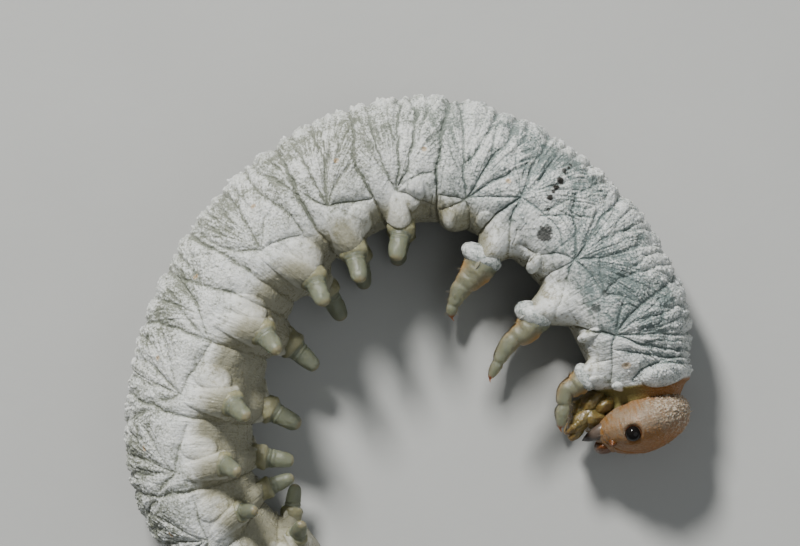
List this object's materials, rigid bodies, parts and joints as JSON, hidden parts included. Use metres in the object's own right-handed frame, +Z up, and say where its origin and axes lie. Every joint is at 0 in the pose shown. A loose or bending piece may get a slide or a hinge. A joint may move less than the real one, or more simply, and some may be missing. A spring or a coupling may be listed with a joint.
{
  "type": "sawfly larva",
  "caption": "Life-size still model of a waxy white sawfly larva lying curled on its side, with a pale brown head, jointed legs and fleshy prolegs.",
  "frame": {"origin": "centre of the model's box in plan, on the floor that the larva lies on", "axes": "+X towards the head's side of the curl, +Y towards the top of the arch of the body, +Z up, away from the floor"},
  "size_m": [0.0156, 0.014, 0.0045],
  "materials": {
    "bloom": "matt white wax bloom over grey-green skin",
    "glassy": "glassy, slightly see-through skin",
    "head": "satin pale orange-brown shell with a pale bloom",
    "eye": "glossy black",
    "jaw": "glossy dark brown to black",
    "mouth": "moist brown, slightly see-through"
  },
  "bodies": {
    "root": {"head": "head", "eye_right": "eye", "eye_left": "eye", "mandible_right": "jaw", "mandible_left": "jaw", "mouthparts": "mouth", "thorax_1": "bloom", "thorax_2": "bloom", "thorax_3": "bloom", "abdomen_1_2": "bloom", "abdomen_3_4": "bloom", "abdomen_5_6": "bloom", "abdomen_7_8": "bloom", "tail_end": "bloom", "leg_right_1": "glassy", "leg_left_1": "glassy", "leg_right_2": "glassy", "leg_left_2": "glassy", "leg_right_3": "glassy", "leg_left_3": "glassy", "proleg_right_2": "glassy", "proleg_left_2": "glassy", "proleg_right_3": "glassy", "proleg_left_3": "glassy", "proleg_right_4": "glassy", "proleg_left_4": "glassy", "proleg_right_5": "glassy", "proleg_left_5": "glassy", "proleg_right_6": "glassy", "proleg_left_6": "glassy", "proleg_right_7": "glassy", "proleg_left_7": "glassy", "proleg_right_8": "glassy", "proleg_left_8": "glassy", "proleg_right_10": "glassy", "proleg_left_10": "glassy"}
  },
  "joints": []
}
